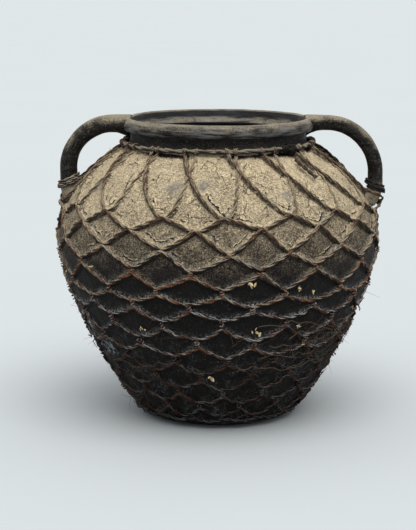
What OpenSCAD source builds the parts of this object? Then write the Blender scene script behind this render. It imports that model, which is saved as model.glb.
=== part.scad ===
// Black clay pot with two rim handles, held in a net of looped iron wire
// and caked with dried mud above and soot below.
// Millimetres, +Z up. The origin is the centre of the foot, on the surface it stands on.

/* [Body] */
// Radius of the flat foot
foot_r = 62; // [56:1:68]
// Radius of the rounded heel round the foot
heel_r = 22; // [18:1:26]
// Radius of the clay at the belly
belly_r = 158; // [154:1:162]
// Height of the belly, where the pot is widest
belly_z = 182; // [176:1:188]
// Height of the top of the shoulder, where the neck starts
neck_z = 272; // [268:1:274]
// Thickness of the clay wall
wall = 9; // [7:0.5:11]

/* [Neck and rim] */
// Outer radius of the neck where it meets the shoulder
neck_r = 90; // [88:1:91]
// Radius of the mouth
mouth_r = 79; // [76:1:80]
// Height of the neck collar
collar_h = 15; // [13:1:19]
// How far the neck draws in at its waist
waist = 1.5; // [0:0.5:3]
// Height of the rolled rim
rim_h = 13; // [11:1:15]
// How far the rim rolls out over the neck
rim_roll = 6; // [4:1:8]

/* [Handles] */
// Distance of the left handle's upright from the pot's axis
left_reach = 150; // [148:1:154]
// Thickness of the left handle
left_t = 17; // [14:1:18]
// Distance of the right handle's upright from the pot's axis
right_reach = 158; // [154:1:158]
// Thickness of the right handle
right_t = 15; // [12:1:16]
// Bend radius of the left handle's corner
left_bend = 45; // [40:1:50]
// Bend radius of the right handle's corner
right_bend = 50; // [44:1:52]
// Radius at which the handles' feet turn in to the shoulder
foot_bend = 30; // [26:1:34]
// Extra width of both handles across the strap
strap = 5; // [2:1:8]

/* [Coats] */
// Thickness of the dried mud and of the soot crust
coat_t = 1.8; // [1:0.1:2]

/* [Wire net] */
// Diameter of the netting wire
wire_d = 2.6; // [2:0.1:2.8]
// Number of meshes round the pot
meshes = 16; // [14:2:18]
// How far the knots of the net wander from their regular places
wander = 1.6; // [0:0.1:2]
// Diameter of the neck wire
neck_wire_d = 4.4; // [3.6:0.1:4.6]

/* [Hidden] */

// Round parts are drawn this fine.
$fn = 96;
// Colours
clay = [0.17, 0.17, 0.18];
mud = [0.55, 0.46, 0.34];
soot = [0.07, 0.065, 0.065];
rust = [0.38, 0.20, 0.11];
dark_iron = [0.16, 0.13, 0.12];
straw = [0.80, 0.70, 0.48];
root = [0.20, 0.14, 0.10];

// Top of the collar, top of the rim
collar_top = neck_z + collar_h;
rim_top = collar_top + rim_h;
// The heel sweeps this many degrees before the side of the pot goes straight up and out.
heel_sweep = 53;
// How far each end of the side's curve, and of the shoulder's, is pulled along its own direction
side_pull = [45, 50];
shoulder_pull = [40, 45];
// Slope of the shoulder where it meets the neck, in degrees below level
shoulder_slope = 34;

// Radius of the clay smoothed into the corner of each handle and the neck
gusset_r = 10;
// The handles' uprights end here and turn in by this many degrees.
foot_z = belly_z + 52;
foot_turn = 52;
// The net goes over a handle's foot below this height and beside it above, and comes back to the
// pot over this length. The two loops that go round the feet hang this much lower.
foot_top = belly_z + 38;
detour = 10;
foot_drop = 5;
// Each handle's tie goes round its foot at this height, sloping down outward by so many degrees.
left_tie_z = belly_z + 51;
right_tie_z = belly_z + 46;
tie_slope = 25;

// Heights of the net's knots, from the shoulder down to the foot
knot_z = [218, 208.5, 190, 173.5, 155, 140, 124, 104, 86, 68, 50, 33, 17];
pitch = 360 / meshes;
// The first knot stands this far to the right of the front.
first_knot = 2.5;
wire_r = wire_d / 2;
// Distance of the wire's centre line from the clay at a knot's inner and outer strand
inner_lie = coat_t + wire_r + 0.35;
outer_lie = inner_lie + wire_d + 0.65;
// Gap between turns of wire that lie side by side, and between the net and a handle it passes
turn_gap = 0.3;
handle_gap = 0.8;
// The outer strand hooks this far above the inner one.
hook = 1.2;
// How a row's wire climbs from its lowest point: nearly straight in the upper rows, and in a
// rounder sag from this row down.
upper_climb = 1.15;
lower_climb = 1.4;
round_row = 5;
tube_sides = 6;
// Middle of the vessel: a wire's section is turned to face away from it.
heart = [0, 0, 120];
// The neck wire lies in the corner between shoulder and neck.
neck_wire_r = neck_r + 5.3;
neck_wire_z = neck_z + 3.5;

// ---- Curves ----

function bezier(a, b, c, d, t) =
    pow(1 - t, 3) * a + 3 * pow(1 - t, 2) * t * b + 3 * (1 - t) * t * t * c + pow(t, 3) * d;
function curve(a, b, c, d, n) = [for (i = [0:n]) bezier(a, b, c, d, i / n)];
function unit(v) = v / norm(v);
function rest(list) = [for (i = [1:len(list) - 1]) list[i]];
function flip(list) = [for (i = [len(list) - 1:-1:0]) list[i]];

// Outward normal at point i of an outline that climbs the outside of the pot
function normal(line, i) =
    let (a = line[max(i - 1, 0)], b = line[min(i + 1, len(line) - 1)], t = unit(b - a))
    [t[1], -t[0]];
// The outline moved outward by d
function grown(line, d) = [for (i = [0:len(line) - 1]) line[i] + d * normal(line, i)];

// Outline of the clay, as [radius, height], from the foot to the neck
heel_line = [for (i = [0:5]) let (a = heel_sweep * i / 5)
    [foot_r + heel_r * sin(a), heel_r * (1 - cos(a))]];
heel_end = heel_line[5];
side_line = curve(heel_end, heel_end + side_pull[0] * [cos(heel_sweep), sin(heel_sweep)],
    [belly_r, belly_z - side_pull[1]], [belly_r, belly_z], 12);
shoulder_line = curve([belly_r, belly_z], [belly_r, belly_z + shoulder_pull[0]],
    [neck_r, neck_z] + shoulder_pull[1] * [cos(shoulder_slope), -sin(shoulder_slope)],
    [neck_r, neck_z], 14);
clay_line = concat(heel_line, rest(side_line), rest(shoulder_line));
clay_normals = [for (i = [0:len(clay_line) - 1]) normal(clay_line, i)];

// ---- Places on the pot ----

// Radius of the clay and direction of its outward normal at height z
radius_at = [for (p = clay_line) [p[1], p[0]]];
lean_at = [for (i = [0:len(clay_line) - 1])
    [clay_line[i][1], atan2(clay_normals[i][1], clay_normals[i][0])]];
// Point at angle a to the right of the front, off the clay at height z by d
function on_pot(a, z, d) =
    let (lean = lookup(z, lean_at), r = lookup(z, radius_at) + d * cos(lean))
    [r * sin(a), -r * cos(a), z + d * sin(lean)];

// x of a handle's outer face (side = 1) or inner face (side = -1) at height z, or 0 below its foot
function handle_face(reach, t, z, side) =
    let (r = foot_bend + side * t / 2, drop = max(0, foot_z - z))
    drop < r ? reach - foot_bend + sqrt(r * r - drop * drop) : 0;
// A point of the net, moved out over a handle's foot, or beside it higher up, where it would cut it
function past_handle(p, lie) =
    let (side = p[0] < 0 ? -1 : 1, t = p[0] < 0 ? left_t : right_t, x = abs(p[0]),
        reach = p[0] < 0 ? left_reach : right_reach, room = wire_r + handle_gap + lie - inner_lie,
        half = (strap + t) / 2 + room, over = handle_face(reach, t, p[2], 1) + room - x,
        low = 1 - rise(p[2], foot_top, foot_top + detour),
        share = low * (1 - rise(abs(p[1]), half, half + detour)),
        beside = p[2] > foot_top && x > handle_face(reach, t, p[2], -1) - room && abs(p[1]) < half)
    over <= 0 ? p : [side * (x + share * over),
        beside ? (p[1] < 0 ? -half : half) : p[1], p[2]];

// Knot m of row k, as [angle, height]
function knot(k, m) =
    let (w = m % meshes, at_handle = k == 0 && w % (meshes / 2) == meshes / 4)
    [first_knot + (m + (k % 2) / 2) * pitch + wander * sin(97 * w + 53 * k),
        knot_z[k] + wander * sin(61 * w + 131 * k) - (at_handle ? foot_drop : 0)];
// 0 below a, 1 above b, and a straight slope between
function rise(x, a, b) = min(1, max(0, (x - a) / (b - a)));
// Point of row k at share s of mesh m: -1 and 1 are its hooks, 0 is its lowest point.
function mesh_point(k, m, s) =
    let (top = knot(k - 1, s < 0 ? m : m + 1), low = knot(k, k % 2 == 1 ? m : m + 1),
        x = abs(s), h = pow(x, k < round_row ? upper_climb : lower_climb),
        lie = inner_lie + (outer_lie - inner_lie) * rise(x, 0.3, 0.6))
    past_handle(on_pot(low[0] + (top[0] - low[0]) * x,
        low[1] + (top[1] + hook - low[1]) * h, lie), lie);

// ---- Shapes ----

// The part of v that stands square to direction t, as a unit vector
function square_to(t, v) = unit(cross(cross(t, v), t));
function section(p, t, up, r, sides) =
    let (n = square_to(t, up), b = cross(t, n))
    [for (i = [0:sides - 1]) p + r * (cos(360 * i / sides) * n + sin(360 * i / sides) * b)];
// Closed or open tube along a path. Its section faces along up, or away from the vessel's heart.
module tube(path, r, closed = false, sides = tube_sides, up = undef) {
    n = len(path);
    points = [for (i = [0:n - 1])
        let (back = closed ? (i + n - 1) % n : max(i - 1, 0),
            on = closed ? (i + 1) % n : min(i + 1, n - 1))
        each section(path[i], unit(path[on] - path[back]),
            is_undef(up) ? path[i] - heart : up, r, sides)];
    walls = [for (i = [0:n - (closed ? 1 : 2)], j = [0:sides - 1])
        let (a = i * sides, b = ((i + 1) % n) * sides, k = (j + 1) % sides)
        each [[a + j, b + j, b + k], [a + j, b + k, a + k]]];
    start = [for (j = [0:sides - 1]) j];
    end = [for (j = [sides - 1:-1:0]) (n - 1) * sides + j];
    polyhedron(points, closed ? walls : concat(walls, [start, end]));
}

// Solid of revolution between two outlines that climb side by side
module shell_of(inner, outer) {
    rotate_extrude() polygon(concat(inner, flip(outer)));
}

// Ring of wire with centre-line radius r and wire radius w
module ring(r, w) {
    rotate_extrude() translate([r, 0]) circle(w, $fn = 24);
}

// Ring of wire drawn long by 2 * half across
module long_ring(r, w, half) {
    for (side = [0, 1]) rotate([0, 0, 180 * side]) {
        translate([0, half, 0]) rotate_extrude(angle = 180) translate([r, 0]) circle(w, $fn = 24);
        translate([r, half, 0]) rotate([90, 0, 0]) cylinder(h = 2 * half, r = w, $fn = 24);
    }
}

// Everything inside the vessel's outer face, used to trim the handles
module vessel_envelope() {
    rotate_extrude() polygon(concat([[0, 0]], clay_line, rest(collar_line), rest(rim_line),
        [[0, rim_top]]));
}

// ---- Clay ----

collar_line = curve([neck_r, neck_z], [neck_r - waist * 4 / 3, neck_z + collar_h / 3],
    [neck_r - waist * 4 / 3, collar_top - collar_h / 3], [neck_r, collar_top], 8);
// The rim rolls out over the neck to its crest, and falls away inside like a funnel.
crest_r = neck_r;
rim_line = curve([neck_r, collar_top], [neck_r + rim_roll + 3, collar_top],
    [neck_r + rim_roll, rim_top - rim_h / 8], [crest_r, rim_top], 12);
lip_line = curve([crest_r, rim_top], [crest_r - 4, rim_top], [mouth_r + 5, collar_top + 2],
    [mouth_r, collar_top], 8);

module pot_body() {
    inner = grown(clay_line, -wall);
    color(clay) rotate_extrude() polygon(concat([[0, 0]], clay_line,
        [[mouth_r, neck_z], [mouth_r, neck_z - wall + 1]], flip(inner), [[0, wall]]));
}

module neck_collar() {
    color(clay) rotate_extrude() polygon(concat(collar_line,
        [[mouth_r, collar_top], [mouth_r, neck_z]]));
}

module rim_coil() {
    color(clay) rotate_extrude() polygon(concat(rim_line, rest(lip_line)));
}

// Strap section, thick across X and wide across Y
module strap_section(t) {
    for (side = [-1, 1]) translate([0, side * strap / 2]) circle(d = t, $fn = 32);
    square([t, strap], center = true);
}

// Clay smoothed into the corner between a handle and the neck. It reaches into the neck and up
// into the handle, so that it is one piece with the handle.
module gusset(width) {
    into_neck = 5;
    into_handle = 3;
    rotate([90, 0, 0]) linear_extrude(width, center = true)
        polygon(concat([[-into_neck, -gusset_r], [-into_neck, into_handle], [gusset_r, into_handle]],
            [for (a = [90:15:180]) gusset_r * [1 + cos(a), sin(a) - 1]]));
}

// Handle on the right side: level from the rim, round the corner, down, and in to the shoulder
module handle_strap(reach, t, bend) {
    top_z = rim_top + 2 - t / 2;
    corner = [reach - bend, 0, top_z - bend];
    translate(corner) rotate([90, 0, 0])
        rotate_extrude(angle = 90) translate([bend, 0]) strap_section(t);
    translate([reach, 0, foot_z]) linear_extrude(corner[2] - foot_z) strap_section(t);
    translate([crest_r, 0, top_z]) rotate([0, 90, 0])
        linear_extrude(corner[0] - crest_r) strap_section(t);
    translate([neck_r, 0, rim_top + 2 - t]) gusset(strap + t / 2);
    translate([reach - foot_bend, 0, foot_z]) rotate([-90, 0, 0])
        rotate_extrude(angle = foot_turn) translate([foot_bend, 0]) strap_section(t);
}

module handle(reach, t, bend) {
    difference() {
        handle_strap(reach, t, bend);
        vessel_envelope();
    }
}

module handle_left() {
    color(clay) mirror([1, 0, 0]) handle(left_reach, left_t, left_bend);
}

module handle_right() {
    color(clay) handle(right_reach, right_t, right_bend);
}

// ---- Crusts ----

// The mud stops this far below the neck, and the soot starts this far above the ground.
mud_stop = 6;
soot_start = 4;
// Gap between the mud and a handle
seat_gap = 0.3;

// Crust on a stretch of the clay's outline
module crust(line) {
    shell_of(line, grown(line, coat_t));
}

module mud_coat() {
    color(mud) difference() {
        crust([for (p = shoulder_line) if (p[1] < neck_z - mud_stop) p]);
        handle_feet();
    }
}

module soot_coat() {
    color(soot) crust([for (p = concat(heel_line, rest(side_line))) if (p[1] > soot_start) p]);
}

// The space that the handles take up in the mud, and a little round it
module handle_feet() {
    mirror([1, 0, 0]) handle_strap(left_reach, left_t + 2 * seat_gap, left_bend);
    handle_strap(right_reach, right_t + 2 * seat_gap, right_bend);
}

// ---- Wire ----

// A turn of netting wire stands this far off the neck wire that it goes round.
hitch_gap = 0.1;

module neck_wire() {
    color(dark_iron) translate([0, 0, neck_wire_z]) ring(neck_wire_r, neck_wire_d / 2);
}

// Rings of wire round the neck wire at angle a
module hitch(a) {
    rotate([0, 0, a]) translate([0, -neck_wire_r, neck_wire_z]) rotate([0, 90, 0])
        ring(neck_wire_d / 2 + wire_r + hitch_gap, wire_r);
}

// The neck wire's ends: three turns round the wire and a twisted tail that slants down the shoulder
module neck_wire_knot() {
    knot_a = 43;
    tail_z = neck_z - 8;
    tail = [for (i = [0:9]) on_pot(knot_a + 0.4 * i, tail_z - 1.6 * i, outer_lie + 1)];
    twist = 40;
    color(dark_iron) {
        for (i = [-1:1]) hitch(knot_a + 1.8 * i);
        for (side = [0, 1]) tube([for (i = [0:9])
            let (t = unit(tail[min(i + 1, 9)] - tail[max(i - 1, 0)]),
                n = square_to(t, tail[i] - heart), a = 180 * side + twist * i)
            tail[i] + (wire_r + turn_gap) * (cos(a) * n + sin(a) * cross(t, n))], wire_r);
    }
}

// First row: long loops hung from the neck wire. Each leans left and crosses the one before it.
module net_row_01() {
    // Angles from a loop's lowest point to its two hitches, how its two sides bend and climb, and
    // the room that its straight stretches need
    spread = [-0.95 * pitch, 0.34 * pitch];
    bend = [0.9, 0.6];
    climb = [1.12, 1.32];
    sag_room = 1;
    top = neck_z - 7;
    // A loop round a handle's foot has a flatter bottom.
    foot_climb = 1.7;
    color(mud) for (m = [0:meshes - 1]) {
        low = knot(0, m);
        flat = m % (meshes / 2) == meshes / 4;
        tube([for (i = [-7:7])
            let (s = i / 7, x = abs(s), side = s < 0 ? 0 : 1, power = flat ? foot_climb : climb[side],
                behind = (1 - side) * rise(x, 0.2, 0.45),
                lie = inner_lie + sag_room * x + behind * (outer_lie - inner_lie))
            past_handle(on_pot(low[0] + spread[side] * pow(x, bend[side]),
                low[1] + (top - low[1]) * pow(x, power), lie), lie)], wire_r);
        for (a = spread) hitch(low[0] + a);
    }
}

// Row k of the net: a ring of meshes hooked on the row above
module net_row(k) {
    shares = [-1, -0.65, -0.25, 0.25, 0.65];
    tube([for (m = [0:meshes - 1]) for (s = shares) mesh_point(k, m, s)], wire_r, closed = true);
}
module net_row_02() { color(mud) net_row(1); }
module net_row_03() { color(mud) net_row(2); }
module net_row_04() { color(rust) net_row(3); }
module net_row_05() { color(rust) net_row(4); }
module net_row_06() { color(rust) net_row(5); }
module net_row_07() { color(rust) net_row(6); }
module net_row_08() { color(dark_iron) net_row(7); }
module net_row_09() { color(dark_iron) net_row(8); }
module net_row_10() { color(dark_iron) net_row(9); }
module net_row_11() { color(dark_iron) net_row(10); }
module net_row_12() { color(dark_iron) net_row(11); }
module net_row_13() { color(rust) net_row(12); }

// Ring under the last row's knots
module base_wire() {
    z = knot_z[12] - wander - wire_d - 1.5;
    place = on_pot(90, z, inner_lie);
    color(rust) translate([0, 0, place[2]]) ring(place[0], wire_r);
}

// Three turns of wire round a handle's foot. Sloping foreshortens them, so they are made wider.
module handle_tie(reach, t, z) {
    loose = 0.7;
    for (i = [0:2]) translate([reach, 0, z + i * (wire_d + turn_gap)]) rotate([0, tie_slope, 0])
        long_ring((t / 2 + wire_r + loose) / cos(tie_slope), wire_r, strap / 2);
}

module handle_tie_left() {
    color(rust) mirror([1, 0, 0]) handle_tie(left_reach, left_t, left_tie_z);
}

module handle_tie_right() {
    color(rust) handle_tie(right_reach, right_t, right_tie_z);
}

// Fine wire wound round a strand of row 5, where two lengths of netting wire are joined
module net_splice() {
    turns = 5;
    steps = 8 * turns;
    lash_r = 0.8;
    from = mesh_point(4, 0, -0.92);
    to = mesh_point(4, 0, -0.66);
    t = unit(to - from);
    n = square_to(t, from - heart);
    out = wire_r + lash_r + 0.15;
    color(mud) tube([for (i = [0:steps]) let (a = 360 * i / 8)
        from + (to - from) * i / steps + out * (cos(a) * n + sin(a) * cross(t, n))],
        lash_r, sides = 5, up = t);
}

// ---- Loose bits ----

// Straw stuck in the crusts: [angle, height, length, turn]
flakes = [[11, 161, 5, 100], [15, 112, 6, 95], [-3, 63, 4, 30], [29, 154, 5, 20], [35, 149, 4, 60],
    [32, 115, 5, 80], [37, 97, 5, 45], [-30, 113, 6, 50], [-48, 169, 5, 15], [65, 120, 6, 70],
    [110, 138, 7, 30], [150, 95, 6, 80], [195, 150, 8, 10], [235, 117, 6, 60], [285, 150, 7, 40]];

module straw_flakes() {
    thick = 0.7;
    color(straw) for (f = flakes) {
        p = on_pot(f[0], f[1], coat_t + thick / 2 + 0.25);
        translate(p) rotate([0, 0, f[0] - 90]) rotate([0, -lookup(f[1], lean_at), 0])
            rotate([f[3], 0, 0]) cube([thick, f[2], 1.6], center = true);
    }
}

// Roots matted over the net: [start angle, start height, end angle, end height, bow]
roots = [[14, 120, 50, 110, 6], [20, 98, 60, 112, -7], [18, 86, 48, 78, 5], [28, 106, 70, 90, 8],
    [30, 72, 66, 88, -6], [8, 74, 40, 64, 5], [-66, 96, -34, 84, 6], [-58, 74, -20, 82, -5],
    [88, 108, 126, 96, 7], [140, 84, 176, 100, -6], [205, 104, 244, 90, 6], [262, 84, 300, 98, -7]];

module root_fibres() {
    root_r = 0.8;
    // Roots that cross lie on three levels over the net.
    level = 2 * root_r + 0.3;
    color(root) for (n = [0:len(roots) - 1])
        let (f = roots[n], lie = outer_lie + wire_r + root_r + 0.6 + level * (n % 3))
        tube([for (i = [0:7]) let (s = i / 7)
            on_pot(f[0] + (f[2] - f[0]) * s, f[1] + (f[3] - f[1]) * s + f[4] * sin(180 * s), lie)],
            root_r, sides = 5);
}

pot_body();
neck_collar();
rim_coil();
handle_left();
handle_right();
mud_coat();
soot_coat();
neck_wire();
neck_wire_knot();
net_row_01();
net_row_02();
net_row_03();
net_row_04();
net_row_05();
net_row_06();
net_row_07();
net_row_08();
net_row_09();
net_row_10();
net_row_11();
net_row_12();
net_row_13();
base_wire();
handle_tie_left();
handle_tie_right();
net_splice();
straw_flakes();
root_fibres();
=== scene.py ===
"""A round black clay pot with two handles, held in a net of old wire.

Dried mud lies on its shoulder, soot and tar on its lower half. Lengths here are in
millimetres and angles in degrees, as in the design, until a mesh is made. An angle on the
pot is measured from the front (-Y) towards the right (+X).
"""

import itertools
import math

import bmesh
import bpy
import numpy as np
from mathutils.kdtree import KDTree
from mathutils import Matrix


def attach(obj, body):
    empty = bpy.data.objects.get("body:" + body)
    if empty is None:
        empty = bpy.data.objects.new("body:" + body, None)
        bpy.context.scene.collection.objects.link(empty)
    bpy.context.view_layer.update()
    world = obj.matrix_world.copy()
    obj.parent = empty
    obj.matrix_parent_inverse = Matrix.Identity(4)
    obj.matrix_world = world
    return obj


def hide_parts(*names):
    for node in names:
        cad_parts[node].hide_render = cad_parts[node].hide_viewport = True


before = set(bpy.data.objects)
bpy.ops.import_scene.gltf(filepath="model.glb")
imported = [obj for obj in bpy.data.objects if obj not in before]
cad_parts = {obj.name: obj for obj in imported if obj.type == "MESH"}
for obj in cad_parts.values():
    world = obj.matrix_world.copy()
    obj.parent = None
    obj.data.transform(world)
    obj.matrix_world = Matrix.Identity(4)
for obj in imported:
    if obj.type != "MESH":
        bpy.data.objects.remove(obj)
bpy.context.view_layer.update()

MM = 0.001
TURN = 2 * math.pi
SEED = 7
rng = np.random.default_rng(SEED)

# ---- Sizes, most of them the design's ----

FOOT_R, HEEL_R, HEEL_SWEEP = 62, 22, 53
BELLY_R, BELLY_Z = 158, 182
NECK_R, NECK_Z = 90, 272
MOUTH_R, WALL = 79, 9
COLLAR_TOP, RIM_TOP = 287, 300
CREST_R = 90
RIM_ROLL = 6
WAIST = 1.5
SIDE_PULL, SHOULDER_PULL, SHOULDER_SLOPE = (45, 50), (40, 45), 34
LEFT_REACH, LEFT_T = 150, 17
RIGHT_REACH, RIGHT_T = 158, 15
STRAP, FOOT_BEND, FOOT_Z = 5, 30, BELLY_Z + 52
FOOT_TOP, DETOUR, FOOT_DROP = BELLY_Z + 38, 10, 5
LEFT_TIE_Z, RIGHT_TIE_Z, TIE_SLOPE = BELLY_Z + 51, BELLY_Z + 46, 25
COAT_T = 1.8

MESHES = 16
PITCH = 360 / MESHES
FIRST_KNOT, WANDER = 2.5, 1.6
KNOT_Z = (218, 208.5, 190, 173.5, 155, 140, 124, 104, 86, 68, 50, 33, 17)
WIRE_R = 1.3
# The twisted wire sits a little deeper than the design's round one, half sunk in the crust.
INNER_LIE = COAT_T + WIRE_R - 0.2
OUTER_LIE = INNER_LIE + 2 * WIRE_R - 0.5
STRAND_R = 0.95
HOOK = 1.2
UPPER_CLIMB, LOWER_CLIMB, ROUND_ROW = 1.15, 1.65, 5
HITCH_SHARE, HITCH_WIRE_R = 0.45, 0.62
PATH_STEP, RING_STEP, NET_LAY = 1.9, 1.6, 24
NECK_WIRE_R, NECK_WIRE_Z = NECK_R + 5.3, NECK_Z + 3.5
HEART = np.array([0.0, 0.0, 120.0])


# ---- Numbers and noise ----


def sin(a):
    return np.sin(np.radians(a))


def cos(a):
    return np.cos(np.radians(a))


def unit(v):
    return v / np.maximum(np.linalg.norm(v, axis=-1, keepdims=True), 1e-9)


def square_to(v, axis):
    """The part of a direction that is square to another, at unit length."""
    return unit(v - np.dot(v, axis) * axis)


def rise(x, a, b):
    """0 below a, 1 above b, and a straight slope between."""
    return np.clip((x - a) / (b - a), 0, 1)


def ease(x, a, b):
    """0 below a, 1 above b, and a smooth slope between."""
    t = rise(x, a, b)
    return t * t * (3 - 2 * t)


def bell(x, middle, width):
    return np.exp(-(((x - middle) / width) ** 2))


def bumps(points, size, seed):
    """Smooth noise from -1 to 1 with lumps about that size."""
    p = np.asarray(points, float) / size + 31.7 * seed
    cell = np.floor(p).astype(np.int64)
    f = p - cell
    f = f * f * f * (f * (6 * f - 15) + 10)
    total = np.zeros(len(p))
    for corner in itertools.product((0, 1), repeat=3):
        c = cell + np.array(corner)
        h = (c[:, 0] * 374761393 + c[:, 1] * 668265263 + c[:, 2] * 2147483629) & 0xFFFFFFFF
        h = ((h ^ (h >> 13)) * 1274126177) & 0xFFFFFFFF
        h = (h ^ (h >> 16)) & 0xFFFF
        weight = np.prod(np.where(np.array(corner) == 1, f, 1 - f), axis=1)
        total += weight * (h / 32767.5 - 1)
    return total


def sway(points, size, seed):
    """Smooth noise as a shift of each point."""
    return np.stack([bumps(points, size, seed + i) for i in range(3)], axis=1)


def rough(points, size, seed, octaves=3):
    """Noise with finer lumps on coarse ones, from about -1 to 1."""
    total = np.zeros(len(points))
    for i in range(octaves):
        total += bumps(points, size / 2**i, seed + 5 * i) / 2**i
    return total / 1.4


# ---- The clay's outline, and places on it ----


def bezier(a, b, c, d, n):
    a, b, c, d = (np.array(p, float) for p in (a, b, c, d))
    t = np.linspace(0, 1, n + 1)[:, None]
    return (1 - t) ** 3 * a + 3 * (1 - t) ** 2 * t * b + 3 * (1 - t) * t * t * c + t**3 * d


def joined(*lines):
    """One outline from several that meet end to end."""
    return np.concatenate([lines[0]] + [line[1:] for line in lines[1:]])


def far_along(line):
    """Distance from a line's start to each of its points."""
    return np.concatenate([[0], np.cumsum(np.linalg.norm(np.diff(line, axis=0), axis=1))])


def clay_outline():
    """The outside of the pot as [radius, height], from the foot to the neck."""
    a = np.linspace(0, HEEL_SWEEP, 25)
    heel = np.stack([FOOT_R + HEEL_R * sin(a), HEEL_R * (1 - cos(a))], axis=1)
    way = np.array([cos(HEEL_SWEEP), sin(HEEL_SWEEP)])
    side = bezier(heel[-1], heel[-1] + SIDE_PULL[0] * way,
                  (BELLY_R, BELLY_Z - SIDE_PULL[1]), (BELLY_R, BELLY_Z), 96)
    slope = np.array([cos(SHOULDER_SLOPE), -sin(SHOULDER_SLOPE)])
    shoulder = bezier((BELLY_R, BELLY_Z), (BELLY_R, BELLY_Z + SHOULDER_PULL[0]),
                      np.array([NECK_R, NECK_Z]) + SHOULDER_PULL[1] * slope, (NECK_R, NECK_Z), 96)
    return joined(heel, side, shoulder)


def lean_of(line):
    """How far the outward normal leans up from level along an outline that climbs."""
    way = np.gradient(line, axis=0)
    return np.degrees(np.arctan2(-way[:, 0], way[:, 1]))


OUTLINE = clay_outline()
OUT_R, OUT_Z = OUTLINE.T
LEAN = lean_of(OUTLINE)


def outward(a, z):
    """Unit normal of the clay at angle a and height z."""
    lean = np.interp(z, OUT_Z, LEAN)
    a, lean = np.broadcast_arrays(a, lean)
    return np.stack([cos(lean) * sin(a), -cos(lean) * cos(a), sin(lean)], axis=-1)


def around(r, a, z):
    """Points at radius r, angle a and height z."""
    return np.stack([r * sin(a), -r * cos(a), z + 0 * a], axis=-1)


def on_pot(a, z, d):
    """Points at angle a, off the clay at height z by d."""
    r = np.interp(z, OUT_Z, OUT_R)
    a, z, r, d = np.broadcast_arrays(a, z, r, d)
    return around(r, a, z) + d[..., None] * outward(a, z)


# ---- Paths of the net ----

# Rows 1 to 3 lie as in the design. From row 4 down the wire hangs below the row above, on
# hitches that only this model has, and from row 6 down it also curves rounder.


def handle_face(reach, thick, z, side):
    """x of a handle's outer face (side 1) or inner face (side -1) at height z."""
    r = FOOT_BEND + side * thick / 2
    drop = np.maximum(0, FOOT_Z - z)
    return np.where(drop < r, reach - FOOT_BEND + np.sqrt(np.maximum(r * r - drop**2, 0)), 0)


def past_handle(p, lie):
    """Moves points out over a handle's foot, or beside it higher up, where it would cut them."""
    p = p.copy()
    x, y, z = np.abs(p[:, 0]), p[:, 1].copy(), p[:, 2]
    room = WIRE_R + 0.8 + lie - INNER_LIE
    for sign, reach, thick in ((-1, LEFT_REACH, LEFT_T), (1, RIGHT_REACH, RIGHT_T)):
        half = (STRAP + thick) / 2 + room
        over = handle_face(reach, thick, z, 1) + room - x
        share = 1 - rise(np.abs(y), half, half + DETOUR)
        share = share * (1 - rise(z, FOOT_TOP, FOOT_TOP + DETOUR))
        beside = (z > FOOT_TOP) & (x > handle_face(reach, thick, z, -1) - room) & (np.abs(y) < half)
        here = (over > 0) & (sign * p[:, 0] > 0)
        p[:, 0] = np.where(here, sign * (x + share * over), p[:, 0])
        p[:, 1] = np.where(here & beside, np.where(y < 0, -half, half), p[:, 1])
    return p


def at_handle(k, m):
    """Whether knot m of row k is one of the two below the handles' feet."""
    return k == 0 and m % (MESHES // 2) == MESHES // 4


def knot(k, m):
    """Knot m of row k, as (angle, height)."""
    w = m % MESHES
    low = FOOT_DROP if at_handle(k, m) else 0
    return (FIRST_KNOT + (m + (k % 2) / 2) * PITCH + WANDER * sin(97 * w + 53 * k),
            KNOT_Z[k] + WANDER * sin(61 * w + 131 * k) - low)


def hitch_drop(k):
    """How far row k's crests hang below the row above, on hitches that the lower rows have."""
    return HITCH_SHARE * rise(k, 2, 5) * (KNOT_Z[k - 1] - KNOT_Z[k])


def mesh_wire(k, m, s):
    """Row k's wire at shares s of mesh m: -1 and 1 are its crests, 0 is its lowest point."""
    low = knot(k, m if k % 2 == 1 else m + 1)
    left, right = knot(k - 1, m), knot(k - 1, m + 1)
    top_a = np.where(s < 0, left[0], right[0])
    top_z = np.where(s < 0, left[1], right[1])
    x = np.abs(s)
    drop = hitch_drop(k)
    lie = INNER_LIE + (OUTER_LIE - INNER_LIE) * rise(x, 0.3, 0.6) * (0.4 if drop > HOOK else 1)
    a = low[0] + (top_a - low[0]) * x
    climb = UPPER_CLIMB if k < ROUND_ROW else LOWER_CLIMB
    z = low[1] + (top_z + HOOK - drop - low[1]) * x**climb
    return past_handle(on_pot(a, z, lie), lie)


LOOP_SPREAD = (-0.95 * PITCH, 0.34 * PITCH)
LOOP_BEND, LOOP_CLIMB, FOOT_CLIMB = (0.9, 0.6), (1.12, 1.32), (1.7, 1.7)
LOOP_TOP = NECK_Z - 2


def loop_wire(m, s):
    """First row: a long loop hung from the neck wire, leaning left."""
    low = knot(0, m)
    x = np.abs(s)
    left = s < 0
    lie = INNER_LIE + np.where(left, (OUTER_LIE - INNER_LIE) * rise(x, 0.2, 0.45), 0)
    pairs = (LOOP_SPREAD, LOOP_BEND, FOOT_CLIMB if at_handle(0, m) else LOOP_CLIMB)
    spread, bend, climb = (np.where(left, *pair) for pair in pairs)
    a = low[0] + spread * x**bend
    z = low[1] + (LOOP_TOP - low[1]) * x**climb
    return past_handle(on_pot(a, z, lie), lie)


def even_path(path, step, closed):
    """The same path with points about a step apart."""
    line = np.concatenate([path, path[:1]]) if closed else path
    far = far_along(line)
    count = max(2, round(far[-1] / step))
    at = np.linspace(0, far[-1], count + 1)
    points = np.stack([np.interp(at, far, line[:, i]) for i in range(3)], axis=1)
    return points[:-1] if closed else points


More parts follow.
